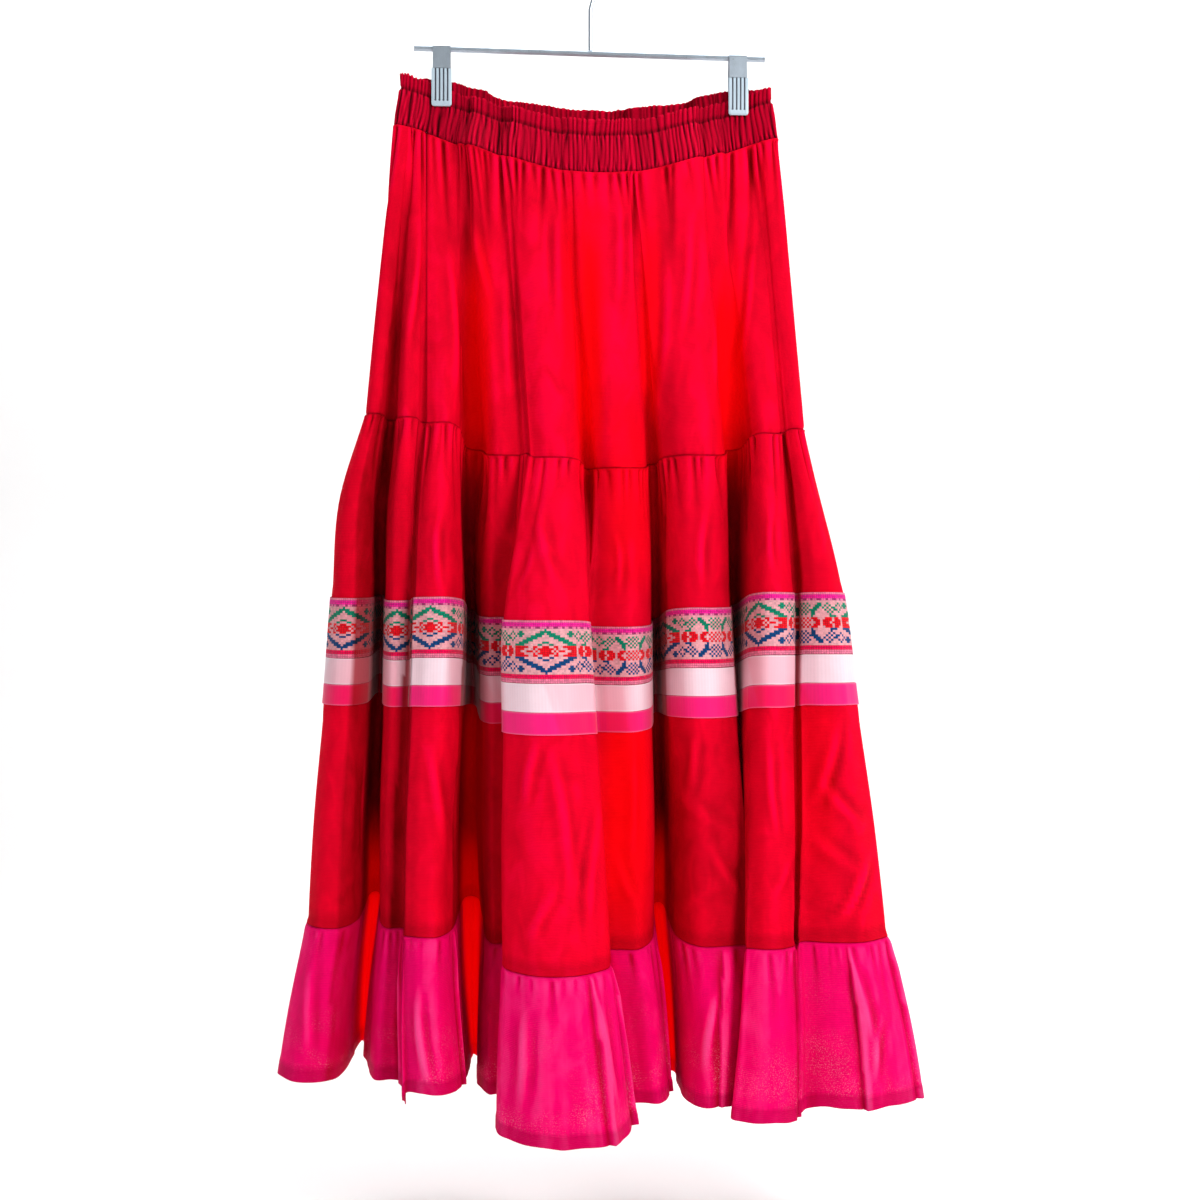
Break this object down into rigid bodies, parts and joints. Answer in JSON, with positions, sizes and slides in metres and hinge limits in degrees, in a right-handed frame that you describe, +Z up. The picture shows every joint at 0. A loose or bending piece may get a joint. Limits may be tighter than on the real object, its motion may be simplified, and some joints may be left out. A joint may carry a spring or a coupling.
{
  "type": "tiered dance skirt hung on a clip hanger",
  "caption": "Long tiered skirt with gathered elastic waist, woven band and satin ribbons, pleated hem flounce, hanging open in deep folds from a clip hanger.",
  "frame": {"origin": "top of the inside of the hanger's hook, where a rail carries it", "axes": "+Z up, -Y towards the front of the skirt, +X towards the viewer's right"},
  "size_m": [0.5392, 0.2652, 0.9943],
  "materials": {
    "poplin": "fine ribbed cotton poplin, soft, slightly sheer red",
    "casing": "gathered crimson poplin over elastic",
    "flounce": "pink sateen with a slight sheen",
    "woven_band": "jacquard band with green, blue, red and pink weft figures",
    "pale_satin": "glossy satin ribbon",
    "hot_satin": "glossy satin ribbon",
    "steel": "polished steel"
  },
  "bodies": {
    "root": {"waistband_front": "casing", "waistband_back": "casing", "yoke_front": "poplin", "yoke_back": "poplin", "tier_front": "poplin", "tier_back": "poplin", "flounce_front": "flounce", "flounce_back": "flounce", "trim_woven": "woven_band", "ribbon_pale": "pale_satin", "ribbon_hot": "hot_satin", "hanger_bar": "steel", "hanger_hook": "steel", "clip_left_jaw": "steel", "clip_left_spring": "steel", "clip_right_jaw": "steel", "clip_right_spring": "steel"}
  },
  "joints": []
}
